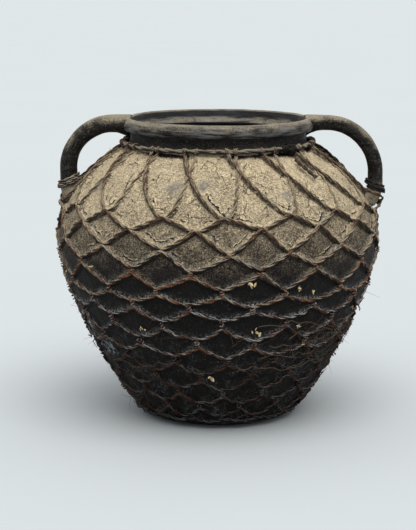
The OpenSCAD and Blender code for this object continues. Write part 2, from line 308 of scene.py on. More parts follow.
def soften(path, closed, times=2):
    """Rounds a path's corners a little."""
    for _ in range(times):
        near = (np.roll(path, 1, axis=0) + np.roll(path, -1, axis=0)) / 2
        moved = (path + near) / 2
        if not closed:
            moved[0], moved[-1] = path[0], path[-1]
        path = moved
    return path


def row_path(k):
    """The closed wire of row k, from 1 to 12."""
    s = np.linspace(-1, 1, 40, endpoint=False)
    path = np.concatenate([mesh_wire(k, m, s) for m in range(MESHES)])
    path = soften(even_path(path, PATH_STEP, True), True)
    stray = 0.5 + 0.7 * (k > ROUND_ROW)
    return path + stray * sway(path, 11, 26)


ROW_PATHS = {k: row_path(k) for k in range(1, len(KNOT_Z))}
LOOP_SHARES = np.linspace(-1, 1, 61)
LOOP_PATHS = [soften(even_path(loop_wire(m, LOOP_SHARES), PATH_STEP, False), False)
              for m in range(MESHES)]


# ---- Meshes ----


def directions(path, closed, up=None):
    """Along, outward and sideways directions at each point of a path."""
    if closed:
        along = np.roll(path, -1, axis=0) - np.roll(path, 1, axis=0)
    else:
        along = np.gradient(path, axis=0)
    along = unit(along)
    up = path - HEART if up is None else np.broadcast_to(np.asarray(up, float), path.shape)
    out = unit(up - np.sum(up * along, axis=1, keepdims=True) * along)
    return along, out, np.cross(along, out)


def wound(a, out, across):
    """Directions at turns a, in radians, from out towards across."""
    return np.cos(a)[:, None] * out + np.sin(a)[:, None] * across


def tube_faces(rings, sides, closed=False):
    """Quads between the rings of a tube."""
    i, j = np.arange(rings if closed else rings - 1)[:, None], np.arange(sides)
    here, on, k = i * sides, (i + 1) % rings * sides, (j + 1) % sides
    return np.stack([here + j, on + j, on + k, here + k], axis=-1).reshape(-1, 4)


class Build:
    """Collects points and faces, and makes one piece of them."""

    def __init__(self):
        self.points, self.faces, self.worn, self.count = [], [], [], 0

    def add(self, points, *faces, worn=0.0):
        """Adds points and their faces. worn is a value that the points carry."""
        self.points.append(np.asarray(points, float).reshape(-1, 3))
        self.faces += [np.asarray(f) + self.count for f in faces]
        count = len(self.points[-1])
        self.worn.append(np.broadcast_to(np.asarray(worn, float), (count,)))
        self.count += count

    def tube(self, path, radius, closed=False, sides=7, up=None, worn=0.0):
        n = len(path)
        _, out, across = directions(path, closed, up)
        a = TURN * np.arange(sides) / sides
        r = np.broadcast_to(np.asarray(radius, float), (n,))[:, None, None]
        ring = np.cos(a)[None, :, None] * out[:, None] + np.sin(a)[None, :, None] * across[:, None]
        points = path[:, None] + r * ring
        end = np.arange(sides)[None]
        ends = [] if closed else [end, (n - 1) * sides + end[:, ::-1]]
        worn = np.repeat(np.broadcast_to(worn, (n,)), sides)
        self.add(points, tube_faces(n, sides, closed), *ends, worn=worn)

    def twisted(self, path, strand_r, lay, closed=False, turn=0.0, sides=7, uneven=0.12,
                apart=0.93, worn=0.0):
        """Two strands twisted together along a path, one turn in each lay."""
        _, out, across = directions(path, closed)
        far = far_along(np.concatenate([path, path[:1] if closed else path[-1:]]))
        turns = far[-1] / lay
        if closed:
            turns = max(1, round(turns))
        phase = TURN * turns * far[:-1] / far[-1] + turn
        for side in (0, 1):
            a = phase + math.pi * side
            shift = apart * strand_r * wound(a, out, across)
            r = strand_r * (1 + uneven * rough(path, 5, 11 + side, 2))
            self.tube(path + shift, r, closed, sides, worn=worn)

    def piece(self, name, material, slot, *nodes):
        """Makes the piece, which stands for those CAD nodes."""
        mesh = bpy.data.meshes.new(name)
        points = np.concatenate(self.points) * MM
        loops = np.concatenate([f.ravel() for f in self.faces])
        sizes = np.concatenate([np.full(len(f), f.shape[1]) for f in self.faces])
        mesh.vertices.add(len(points))
        mesh.vertices.foreach_set("co", points.astype(np.float32).ravel())
        mesh.loops.add(len(loops))
        mesh.loops.foreach_set("vertex_index", loops.astype(np.int32))
        mesh.polygons.add(len(sizes))
        mesh.polygons.foreach_set("loop_start", (np.cumsum(sizes) - sizes).astype(np.int32))
        carry(mesh, "worn", np.concatenate(self.worn))
        mesh.update(calc_edges=True)
        mesh.validate()
        mesh.shade_smooth()
        return finished(bpy.data.objects.new(name, mesh), material, slot, *nodes)


def carry(mesh, name, values):
    """Gives a mesh's points values that its material reads."""
    held = mesh.attributes.new(name, "FLOAT", "POINT")
    held.data.foreach_set("value", np.asarray(values, np.float32))


def finished(piece, material, slot, *nodes):
    """Links a piece, dresses it, and puts it on the pot in place of the CAD nodes."""
    if piece.name not in bpy.context.scene.objects:
        bpy.context.scene.collection.objects.link(piece)
    piece.data.materials.clear()
    piece.data.materials.append(material)
    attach(piece, "root")
    if nodes:
        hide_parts(*nodes)
    return piece


def grid_faces(rows, columns, start=0, flip=False):
    """Quads of a grid that closes on itself sideways."""
    i = np.arange(rows - 1)[:, None] * columns
    j = np.arange(columns)[None]
    k = (j + 1) % columns
    quads = np.stack([i + j, i + k, i + columns + k, i + columns + j], axis=-1).reshape(-1, 4)
    return (quads[:, ::-1] if flip else quads) + start


# ---- Materials ----


def linear(r, g, b):
    """A colour given as a screen shows it, from 0 to 255, as light."""
    share = np.array([r, g, b]) / 255
    return (*np.where(share <= 0.04045, share / 12.92, ((share + 0.055) / 1.055) ** 2.4), 1.0)


class Shade:
    """A material made node by node. Places are the object's own, in millimetres."""

    def __init__(self, name):
        self.material = bpy.data.materials.new(name)
        self.material.use_nodes = True
        self.tree = self.material.node_tree
        self.tree.nodes.clear()
        self.shader = self.node("BsdfPrincipled")
        out = self.node("OutputMaterial")
        self.put(self.shader.outputs[0], out.inputs["Surface"])
        place = self.node("TexCoord").outputs["Object"]
        self.place = self.vector("MULTIPLY", place, (1 / MM,) * 3)

    def put(self, value, socket):
        if isinstance(value, bpy.types.NodeSocket):
            self.tree.links.new(value, socket)
        else:
            socket.default_value = value

    def node(self, kind, *values, named=None, **settings):
        """A new node with its settings, and values in its first inputs and in named ones."""
        node = self.tree.nodes.new("ShaderNode" + kind)
        for setting, choice in settings.items():
            setattr(node, setting, choice)
        for value, socket in zip(values, node.inputs):
            self.put(value, socket)
        for name, value in (named or {}).items():
            self.put(value, node.inputs[name])
        return node

    def vector(self, operation, *values):
        return self.node("VectorMath", *values, operation=operation).outputs[0]

    def math(self, operation, *values):
        return self.node("Math", *values, operation=operation).outputs[0]

    def chain(self, operation, first, *others):
        for other in others:
            first = self.math(operation, first, other)
        return first

    def times(self, *values):
        return self.chain("MULTIPLY", *values)

    def plus(self, *values):
        return self.chain("ADD", *values)

    def less(self, *values):
        return self.chain("SUBTRACT", *values)

    def between(self, value, low=0.3, high=0.7, start=0.0, end=1.0):
        """Turns low..high of a value into start..end, smoothly, and stays there outside."""
        return self.node("MapRange", value, low, high, start, end,
                         interpolation_type="SMOOTHSTEP").outputs[0]

    def swing(self, value, by, low=0.3, high=0.7):
        """Turns low..high of a value into -by..by."""
        return self.between(value, low, high, -by, by)

    def band(self, value, a, b, c, d):
        """Rises from 0 to 1 over a..b of a value, and falls back over c..d."""
        return self.times(self.between(value, a, b), self.between(value, c, d, 1.0, 0.0))

    def line(self, value, near, far):
        """1 where a value is within near of 0, falling to 0 at far."""
        return self.between(self.math("ABSOLUTE", value), near, far, 1.0, 0.0)

    def noise(self, size, detail=3.0, stretch=(1, 1, 1), harsh=0.55, bend=0.0):
        named = {"Vector": self.vector("MULTIPLY", self.place, stretch), "Scale": 1 / size,
                 "Detail": detail, "Roughness": harsh, "Distortion": bend}
        return self.node("TexNoise", named=named).outputs[0]

    def cracks(self, size, width, waver):
        """1 on crack lines between plates about that size, 0 on the plates."""
        named = {"Vector": self.place, "Scale": 3 / size, "Detail": 3.0}
        shift = self.node("TexNoise", named=named).outputs["Color"]
        bent = self.vector("MULTIPLY_ADD", shift, (waver,) * 3, self.place)
        edge = self.node("TexVoronoi", named={"Vector": bent, "Scale": 1 / size},
                         feature="DISTANCE_TO_EDGE").outputs[0]
        return self.between(edge, 0.3 * width / size, width / size, 1.0, 0.0)

    def field(self, name):
        """A value that the mesh carries at its points."""
        return self.node("Attribute", attribute_name=name).outputs["Fac"]

    def facing_up(self):
        """How far the surface faces up, from -1 to 1."""
        return self.node("SeparateXYZ", self.node("NewGeometry").outputs["Normal"]).outputs[2]

    def mix(self, share, a, b):
        """Two colours mixed. One of three numbers is as a screen shows it, one of four is light."""
        node = self.node("Mix", share, data_type="RGBA")
        for value, i in ((a, 6), (b, 7)):
            seen = isinstance(value, tuple) and len(value) == 3
            self.put(linear(*value) if seen else value, node.inputs[i])
        return node.outputs[2]

    def ramp(self, value, *stops):
        """Colour by value: each stop is (value, colour as a screen shows it)."""
        node = self.node("ValToRGB", value)
        line = node.color_ramp
        while len(line.elements) < len(stops):
            line.elements.new(0.5)
        for element, (at, colour) in zip(line.elements, stops):
            element.position, element.color = at, linear(*colour)
        return node.outputs[0]

    def relief(self, height, depth):
        """Bump of that depth in millimetres, on top of any bump there is."""
        named = {"Strength": 1.0, "Distance": depth * MM, "Height": height}
        node = self.node("Bump", named=named)
        before = self.shader.inputs["Normal"].links
        if before:
            self.put(before[0].from_socket, node.inputs["Normal"])
        self.put(node.outputs[0], self.shader.inputs["Normal"])

    def finish(self, colour, roughness, specular=0.5):
        self.put(colour, self.shader.inputs["Base Color"])
        self.put(roughness, self.shader.inputs["Roughness"])
        self.shader.inputs["Specular IOR Level"].default_value = specular
        return self.material


def clay_material(name, dust_start, dust_end, dust_share, sheen, specular):
    """Burnished black clay with throwing lines, scuffs, and dust where it faces up."""
    s = Shade(name)
    lines = s.noise(2.2, 3, (0.12, 0.12, 1))
    patches = s.noise(18, 5)
    grain = s.noise(0.8, 4)
    # The carried field adds dust where it is above zero. Below zero, inside the mouth, it is
    # painted shade that takes the dust away and darkens the clay to near black.
    dust_and_shade = s.field("dust_and_shade")
    loose = s.plus(s.facing_up(), s.swing(patches, 0.3), s.swing(grain, 0.3))
    dust = s.times(s.between(loose, dust_start, dust_end), dust_share)
    laid = s.times(dust_and_shade, s.between(grain, 0.2, 0.7, 0.25, 1.0))
    dust = s.math("MINIMUM", s.math("MAXIMUM", s.plus(dust, laid), 0.0), 1.0)
    black = s.mix(s.between(lines, 0.35, 0.7), (8, 8, 9), sheen)
    specks = s.between(s.noise(1.7, 5, harsh=0.8), 0.54, 0.64)
    black = s.mix(s.times(specks, 0.4), black, (116, 108, 92))
    # Painted shade: near black inside the mouth, where the carried field is below zero.
    black = s.mix(s.between(dust_and_shade, -0.8, -0.1, 0.9, 0.0), black, (9, 9, 10))
    colour = s.mix(dust, black, s.mix(s.between(grain), (74, 69, 62), (158, 147, 124)))
    s.relief(lines, 0.4)
    s.relief(grain, 0.35)
    gloss = s.between(patches, 0.3, 0.7, 0.4, 0.6)
    return s.finish(colour, s.plus(gloss, s.times(dust, 0.4)), specular)


def crust_material():
    """Dried mud over soot. The mesh says how much mud lies where, with less under the neck wire and
    under the upper wires as painted shade, and how far the wires are.
    """
    s = Shade("dried_crust")
    mud, fibrous = s.field("mud"), s.field("fibrous")
    broad = s.noise(14, 4)
    blotch = s.noise(4.2, 5, harsh=0.65)
    grain = s.noise(1.3, 4, harsh=0.8)
    specks = s.noise(1.8, 5, harsh=0.9)
    fibres = s.noise(1.9, 4, (1, 1, 0.3), bend=1.5)
    show = s.between(mud, 0.0, 0.35, 0.25, 1.0)
    vary = s.plus(s.swing(broad, 0.08, 0.25, 0.75), s.swing(blotch, 0.09, 0.28, 0.72),
                  s.swing(grain, 0.24, 0.36, 0.64))
    colour = s.ramp(s.plus(mud, s.times(vary, show)),
                    (0.0, (8, 7, 7)), (0.16, (20, 17, 16)), (0.36, (62, 55, 48)),
                    (0.56, (104, 94, 79)), (0.76, (148, 135, 111)), (1.0, (190, 174, 143)))
    pits = s.times(s.between(specks, 0.60, 0.68), s.between(mud, 0.2, 0.6, 0.0, 0.8))
    # Painted highlights: light specks on the soot where there is little mud.
    fleck_highlight = s.times(s.between(s.noise(2.6, 6, harsh=0.9), 0.57, 0.63),
                     s.between(mud, 0.0, 0.3, 0.5, 0.0))
    bare = s.times(s.field("bare"), s.between(blotch, 0.25, 0.55))
    earth = s.times(s.between(blotch, 0.52, 0.62), fibrous)
    # Painted highlight: a light blue-grey on the raised fibres of the fibrous crust.
    ridge_highlight = s.times(s.between(fibres, 0.55, 0.61), fibrous, s.between(broad, 0.45, 0.6))

    # Mud that shrank from the wire below it: a ragged crack, clay that shows in it, and a lifted
    # lip painted lighter as a painted highlight.
    ragged = s.plus(s.swing(s.noise(9, 4), 2.2, 0.25, 0.75), s.swing(s.noise(2.3, 3), 0.5))
    off = s.less(s.field("above"), 5.6, ragged)
    torn = s.times(s.between(s.noise(21, 2), 0.48, 0.52), s.between(mud, 0.4, 0.55))
    shows = s.times(s.band(off, -2.8, -2.0, -0.6, 0.0), torn,
                    s.between(s.noise(11, 2), 0.45, 0.55))
    # Painted highlight: the lifted lip is painted lighter.
    lip = s.times(s.band(off, 0.5, 1.1, 1.3, 2.4), torn)
    fine = s.times(s.cracks(17, 0.5, 5.0), s.between(broad, 0.5, 0.58),
                   s.between(mud, 0.4, 0.7, 0.0, 0.8))
    crack = s.math("MAXIMUM", s.times(s.line(off, 0.4, 0.95), torn), fine)
    fold = s.times(s.line(s.less(s.noise(5.0, 4, harsh=0.65), 0.5), 0.008, 0.03),
                   s.between(broad, 0.35, 0.6))

    # A dark line just under each wire, painted shadow in the gap beneath it, and ash on top of the
    # lower ones
    gap = s.line(s.less(s.field("below"), s.between(grain, 0.3, 0.7, 1.4, 2.6)), 0.4, 1.4)
    gap = s.times(gap, s.between(blotch, 0.38, 0.56, 0.35, 1.0))
    ash = s.times(s.field("ash"), s.between(s.noise(2.0, 5, harsh=0.8), 0.46, 0.62))
    tar = s.times(s.field("tar"), s.between(blotch, 0.4, 0.6))
    sheen = s.times(tar, s.between(s.noise(3.2, 4, (1, 1, 0.4), bend=1.0), 0.5, 0.57))

    # Each layer is (where, how strong, colour), from the bottom up. The light flecks, the light
    # ridges and the light lip are painted highlights, and the dark line under each wire is painted
    # shadow.
    layers = ((pits, 1.0, (44, 36, 30)), (fleck_highlight, 1.0, (92, 84, 74)), (bare, 0.75, (98, 97, 95)),
              (earth, 0.7, (50, 33, 26)), (ridge_highlight, 0.9, (112, 116, 120)),
              (lip, 0.5, (222, 202, 166)), (shows, 0.8, (112, 112, 111)),
              (fold, s.between(mud, 0.1, 0.5, 0.2, 0.5), (48, 39, 31)),
              (crack, 0.95, (20, 15, 12)), (gap, 0.85, (20, 15, 12)),
              (ash, 0.9, (172, 170, 168)), (sheen, 0.9, (150, 160, 170)))
    for where, strength, tint in layers:
        colour = s.mix(s.times(where, strength), colour, tint)
    s.relief(s.less(grain, s.plus(s.times(crack, 1.2), gap, s.times(fold, 0.4))), 0.9)
    s.relief(blotch, 1.7)
    s.relief(s.times(fibres, fibrous), 2.6)
    s.put(s.times(tar, 0.9), s.shader.inputs["Coat Weight"])
    s.shader.inputs["Coat Roughness"].default_value = 0.27
    return s.finish(colour, s.between(mud, 0.05, 0.5, 0.68, 0.95), 0.15)


BURNT = 0.4


def wire_material(name, metal, rusty, dust, dust_share, rust_share):
    """Old wire: rust where it is rubbed bare, and dust or ash where it faces up."""
    s = Shade(name)
    patches = s.noise(9, 4)
    grain = s.noise(0.9, 4, harsh=0.7)
    bare = s.plus(s.field("worn"), s.swing(s.noise(5, 4), 0.5))
    bare = s.times(s.between(bare, 0.35, 0.85), s.between(s.noise(1.6, 4, harsh=0.7), 0.38, 0.58))
    up = s.plus(s.facing_up(), s.swing(patches, 0.5), s.swing(grain, 0.45))
    up = s.less(up, s.times(bare, 0.8))
    bright = linear(*rusty)
    burnt = (*(BURNT * c for c in bright[:3]), 1.0)
    colour = s.mix(s.times(bare, rust_share), metal, s.mix(grain, bright, burnt))
    colour = s.mix(s.times(s.between(up, -0.1, 0.8), dust_share), colour, dust)
    s.relief(grain, 0.45)
    return s.finish(colour, 0.86, 0.15)


def plant_material(name, dark, light):
    s = Shade(name)
    streaks = s.noise(0.8, 4, (1, 1, 0.4))
    s.relief(streaks, 0.2)
    return s.finish(s.mix(s.between(streaks), dark, light), 0.8, 0.3)


CLAY = clay_material("burnished_clay", 0.15, 1.25, 0.55, (28, 27, 27), 0.1)
RIM_CLAY = clay_material("rim_clay_look", 0.2, 1.2, 0.6, (90, 89, 88), 0.1)
HANDLE_CLAY = clay_material("dusty_clay", 0.25, 1.0, 0.8, (34, 32, 31), 0.08)
CRUST = crust_material()
# Wires: name, metal, rust, dust, how much dust, how much rust
CAKED, MUDDY, RUSTY, DARK, LOW, NECK, BLACK = (
    wire_material(f"{name}_wire_look", *look) for name, *look in (
        ("caked", (60, 51, 43), (104, 70, 53), (128, 115, 94), 0.85, 0.5),
        ("muddy", (50, 42, 36), (112, 76, 56), (132, 119, 99), 0.9, 0.5),
        ("rusty", (34, 28, 25), (140, 90, 58), (138, 128, 113), 0.85, 0.75),
        ("dark", (16, 15, 15), (118, 77, 50), (150, 148, 147), 0.75, 0.7),
        ("low", (15, 12, 11), (88, 58, 43), (112, 110, 109), 0.5, 0.6),
        ("neck", (36, 32, 29), (56, 44, 36), (116, 108, 95), 0.85, 0.2),
        ("black", (11, 10, 10), (104, 90, 72), (66, 62, 57), 0.3, 0.85)))
STRAW = plant_material("straw_look", (168, 146, 104), (222, 206, 164))
ROOT = plant_material("root_look", (20, 16, 13), (84, 68, 52))


# ---- Clay ----


def wobble(points):
    """Moves points of the neck and rim as a hand-made rim wanders."""
    p = points.copy()
    share = ease(p[:, 2], NECK_Z, NECK_Z + 14)
    flat = p * [1, 1, 0.2]
    out = unit(p * [1, 1, 0])
    p += out * (0.7 * share * bumps(flat, 60, 3) + 0.25 * share * bumps(flat, 17, 4))[:, None]
    level = flat * [1, 1, 0]
    p[:, 2] += share * (0.5 * bumps(level, 70, 5) + 0.15 * bumps(level, 15, 6))
    return p


def turned(name, outline, material, *nodes, columns=256):
    """A closed shape turned on the wheel from a closed outline of [radius, height]."""
    a = np.arange(columns) * 360 / columns
    r, z = outline[:, 0][:, None], outline[:, 1][:, None]
    points = around(r, a, z).reshape(-1, 3)
    rows = len(outline)
    build = Build()
    wall = grid_faces(rows, columns)
    last = (rows - 1) * columns + np.arange(columns)
    first = np.arange(columns)
    seam = np.stack([last, np.roll(last, -1), np.roll(first, -1), first], axis=1)
    build.add(wobble(points), wall, seam)
    piece = build.piece(name, material, "black_clay", *nodes)
    rounds, height = np.hypot(points[:, 0], points[:, 1]), points[:, 2]
    outside = ease(rounds, NECK_R - WAIST - 1.5, NECK_R - WAIST - 0.5)
    at_neck = outside * np.exp(-np.maximum(height - NECK_Z - 2, 0) / 2.5) * ease(height, 250, 260)
    within = (1 - outside) * ease(height, NECK_Z - 12, NECK_Z)
    # Inside the mouth: painted shade (below zero) everywhere except a lighter band just above the
    # collar's top.
    band = within * (1.15 * bell(height, COLLAR_TOP + 3, 3) - 0.9)
    on_rim = outside * ease(height, COLLAR_TOP + 3, COLLAR_TOP + 6)
    by_handle = bell(np.abs(points[:, 0]), rounds, 12)
    on_rim = on_rim * (0.35 * ease(bumps(points, 22, 71), 0.1, 0.6) + 0.35 * by_handle)
    spots = 0.5 + 0.5 * rough(points, 14, 70)
    carry(piece.data, "dust_and_shade", (0.75 * at_neck + on_rim) * spots + band)


def pot_body():
    """The clay wall, closed at its floor, with finger ridges inside."""
    inner = OUTLINE + WALL * np.stack([-cos(LEAN), -sin(LEAN)], axis=1)
    inner = inner[inner[:, 1] < NECK_Z - WALL + 1][::-1]
    inner[:, 0] += 0.35 * np.sin(inner[:, 1] / 2.1) * ease(inner[:, 1], WALL, 40)
    lip = bezier((NECK_R, NECK_Z), (87, NECK_Z), (82, NECK_Z), (MOUTH_R, NECK_Z), 6)
    fall = bezier((MOUTH_R, NECK_Z), (MOUTH_R, NECK_Z - 3), (MOUTH_R, NECK_Z - 6), inner[0], 6)
    inside = bezier(inner[-1], (50, WALL), (25, WALL), (0.4, WALL), 12)
    under = bezier((0.4, 0), (20, 0), (45, 0), (FOOT_R, 0), 12)
    outline = joined(OUTLINE[::2], lip, fall, inner[::2], inside)
    outline = np.concatenate([outline, under[:-1]])
    turned("clay_wall", outline, CLAY, "pot_body")


def rim_roll():
    """The outer face of the rim, from the neck to its crest."""
    return bezier((NECK_R, COLLAR_TOP), (NECK_R + RIM_ROLL + 3, COLLAR_TOP),
                  (NECK_R + RIM_ROLL, RIM_TOP - (RIM_TOP - COLLAR_TOP) / 8),
                  (CREST_R, RIM_TOP), 32)


def neck_and_rim():
    third = (COLLAR_TOP - NECK_Z) / 3
    waist_r = NECK_R - WAIST * 4 / 3
    collar = bezier((NECK_R, NECK_Z), (waist_r, NECK_Z + third), (waist_r, COLLAR_TOP - third),
                    (NECK_R, COLLAR_TOP), 24)
    back = bezier((MOUTH_R, COLLAR_TOP), (MOUTH_R + 0.8, COLLAR_TOP - third),
                  (MOUTH_R + 0.8, NECK_Z + third), (MOUTH_R, NECK_Z), 16)
    turned("collar_clay", np.concatenate([collar, back]), CLAY, "neck_collar", columns=384)
    lip = bezier((CREST_R, RIM_TOP), (CREST_R - 4, RIM_TOP), (MOUTH_R + 5, COLLAR_TOP + 2),
                 (MOUTH_R, COLLAR_TOP), 20)
    turned("rim_clay", joined(rim_roll(), lip), RIM_CLAY, "rim_coil", columns=384)


def settled(at):
    """Draws a handle's ends into the vessel's wall, and widens them there."""
    neck = [[NECK_R - WAIST, NECK_Z + 6], [NECK_R - WAIST, COLLAR_TOP - 4]]
    profile = np.concatenate([OUTLINE, neck, rim_roll()])
    profile = profile[np.argsort(profile[:, 1])]

    def gap_at(at):
        return np.hypot(at[:, 0], at[:, 1]) - np.interp(at[:, 2], profile[:, 1], profile[:, 0])

    at = at.copy()
    gap = gap_at(at)
    near = 1 - ease(np.hypot(at[:, 0], at[:, 1]), CREST_R, CREST_R + 32)
    at[:, 1] *= 1 + 1.3 * near**2 * ease(at[:, 2], 268, 285)
    foot = (1 - ease(at[:, 2], FOOT_Z - 12, FOOT_Z + 4)) * np.clip(1 - gap / 14, 0, 1) ** 2
    at[:, 1] *= 1 + 0.35 * foot
    sunk = np.clip(1 - gap / 6, 0, 1) * (np.maximum(gap_at(at), 0) + 3.5)
    return at - unit(at * [1, 1, 0]) * sunk[:, None]


HANDLE_VOXEL = 1.3


def handle(name, node, seed):
    """The handle with its edges rubbed round and its faces a little uneven."""
    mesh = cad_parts[node].data.copy()
    form = bmesh.new()
    form.from_mesh(mesh)
    bmesh.ops.remove_doubles(form, verts=form.verts, dist=1e-6)
    form.to_mesh(mesh)
    form.free()
    piece = bpy.data.objects.new(name, mesh)
    bpy.context.scene.collection.objects.link(piece)
    remesh = piece.modifiers.new("even", "REMESH")
    remesh.mode = "VOXEL"
    remesh.voxel_size = HANDLE_VOXEL * MM
    rub = piece.modifiers.new("rub", "SMOOTH")
    rub.iterations = 6
    ready = piece.evaluated_get(bpy.context.evaluated_depsgraph_get())
    mesh = bpy.data.meshes.new_from_object(ready)
    piece.modifiers.clear()
    piece.data = mesh
    count = len(mesh.vertices)
    at, normal = np.zeros((2, count * 3), np.float32)
    mesh.vertices.foreach_get("co", at)
    mesh.vertices.foreach_get("normal", normal)
    at, normal = at.reshape(-1, 3) / MM, normal.reshape(-1, 3)
    lift = 0.45 * rough(at, 26, seed, 2) + 0.12 * rough(at, 5, seed + 1, 2)
    at += normal * lift[:, None]
    at = settled(at)
    mesh.vertices.foreach_set("co", (at * MM).astype(np.float32).ravel())
    muddy = 1 - ease(at[:, 2] + 4 * bumps(at, 12, seed + 2), FOOT_Z - 8, FOOT_Z + 6)
    carry(mesh, "dust_and_shade", 1.6 * muddy)
    mesh.update()
    mesh.shade_smooth()
    finished(piece, HANDLE_CLAY, "black_clay", node)


# ---- Crusts ----

# Grey-blue clay that shows through the mud: (angle, height, size)
BARE_PATCHES = (
    (-19, 243, 13), (-6, 246, 9), (28, 236, 8), (100, 240, 12), (171, 234, 11), (236, 244, 13),
    (300, 238, 10))
# Tar with a gloss: (angle, height, size)
TAR_PATCHES = (
    (-72, 102, 20), (-60, 80, 18), (-84, 120, 12), (60, 96, 12), (120, 90, 16), (190, 84, 18),
    (250, 100, 16))
# Crust with a grain like bark: (angle, height, size)
BARK_PATCHES = ((44, 96, 34), (66, 84, 28), (150, 70, 30), (262, 66, 30))


def patches(points, places):
    """1 in the middle of each patch, falling to 0 at its size."""
    total = np.zeros(len(points))
    for a, z, size in places:
        away = np.linalg.norm(points - on_pot(a, z, 0.0), axis=1)
        away += 0.3 * size * bumps(points, size / 2, 17)
        total = np.maximum(total, 1 - ease(away, 0.3 * size, size))
    return total


def height_over_clay(points):
    """How far points stand off the clay."""
    flat = np.stack([np.hypot(points[:, 0], points[:, 1]), points[:, 2]], axis=1)
    return np.min(np.linalg.norm(flat[:, None] - OUTLINE[None], axis=2), axis=1)


def nearest_wire(a, z):
    """For places on the clay: distance along the clay to the nearest wire, that wire's height
    over the clay, and whether the place is above the wire (1) or below it (-1)."""
    wires = np.concatenate(list(ROW_PATHS.values()) + LOOP_PATHS)
    lie = height_over_clay(wires)
    places = on_pot(a, z, INNER_LIE)
    tree = KDTree(len(wires))
    for i, p in enumerate(wires):
        tree.insert(p, i)
    tree.balance()
    found = np.array([tree.find(p)[1:3] for p in places])
    near = found[:, 0].astype(int)
    lie = lie[near]
    away = np.sqrt(np.maximum(found[:, 1] ** 2 - (lie - INNER_LIE) ** 2, 0))
    side = (places[:, 2] - wires[near, 2]) / np.maximum(found[:, 1], 0.5)
    return away, np.minimum(lie, OUTER_LIE + 0.5), np.clip(side, -1, 1)


def crust_relief(a, z):
    """Thickness of the crust at angles a and heights z, and the values its material reads."""
    clay = on_pot(a, z, 0.0)
    away, wire_lie, side = nearest_wire(a, z)
    above, below = np.maximum(side, 0), np.maximum(-side, 0)
    upper = ease(z, 160, 205)
    low = 1 - ease(z, 60, 135)
    drift = bumps(clay, 24, 1)

    thick = 1.5 + 0.5 * rough(clay, 17, 2) + 0.3 * rough(clay, 4.5, 3) + 0.2 * bumps(clay, 1.8, 4)
    pillow = ease(away, 3.0, 13)
    thick += (0.9 + 0.6 * drift) * pillow * (1 - upper)
    scales = rough(clay * [1, 1, 1.8], 13, 6, 4)
    thick += low * (1.5 * scales + 0.8 * rough(clay, 5, 7))
    bark = patches(clay, BARK_PATCHES)
    grain_way = np.stack([a * 1.4 - z * 0.9, a * 0.28 + z * 0.32, 0 * a], axis=1)
    thick += bark * 1.5 * rough(grain_way, 5.5, 8)

    # The crust is heaped against each wire, higher above it than below.
    buried = 0.8 * ease(z, 208, 235) - 0.15
    heap = np.maximum(wire_lie + buried + 0.35 * bumps(clay, 6, 16) - thick, 0)
    width = 1.9 + (0.9 + 1.3 * upper) * above
    thick += heap * np.exp(-((away / width) ** 2))
    thick -= 0.8 * below * bell(away, 3.2, 1.1)

    # Plates of mud lift a little where they shrank from the wire below them.
    lifted = ease(z, 170, 188) * ease(bumps(clay, 30, 12), -0.25, 0.1)
    thick += 0.7 * lifted * above * bell(away, 7.5, 2.2)

    ledge = above * np.exp(-np.maximum(away - 1.2, 0) / 3.6)
    crest = above * np.exp(-np.maximum(away - 1.5, 0) / 1.7)
    mud = np.interp(z, (0, 110, 140, 156, 170, 184, 198, 210, 224, 262),
                    (0.0, 0.01, 0.02, 0.05, 0.20, 0.40, 0.56, 0.68, 0.80, 0.86))
    # Painted shadow: the mud is darkened in a thin ragged band just under the neck wire.
    mud -= 1.1 * bell(z, NECK_Z - 2.6, 1.5) * ease(bumps(clay, 13, 18), -0.35, 0.15)
    mud += (0.05 * drift + 0.06 * bumps(clay, 9, 13)) * ease(z, 120, 190)
    mud += ledge * (0.40 * ease(z, 128, 180) * (1 - 0.5 * ease(z, 200, 225)))
    # Painted shade: less mud, so a darker crust, just under each wire on the upper shoulder.
    mud -= 0.20 * below * np.exp(-((away / 4.5) ** 2)) * upper
    mud -= 0.05 * (1 - ledge) * bell(z, 192, 20) * ease(away, 4, 9)
    tar = patches(clay, TAR_PATCHES)
    ash = crest * (1.2 * bell(z, 145, 26) + 0.6 * bell(z, 100, 32))
    ash = ash * (0.7 + 0.6 * bumps(clay, 9, 19))
    fields = {"mud": mud, "ash": ash, "bare": patches(clay, BARE_PATCHES), "tar": tar,
              "above": np.where(side > 0.15, away, 20 - 11 * above),
              "below": np.where(side < -0.15, away, 20 - 11 * below),
              "fibrous": np.maximum(bark, 0.5 * low)}
    return thick, fields


CRUST_COLUMNS = 720
SOOT_STEP, MUD_STEP = 1.65, 1.15
CRUST_LOW, CRUST_HIGH = 3.0, NECK_Z


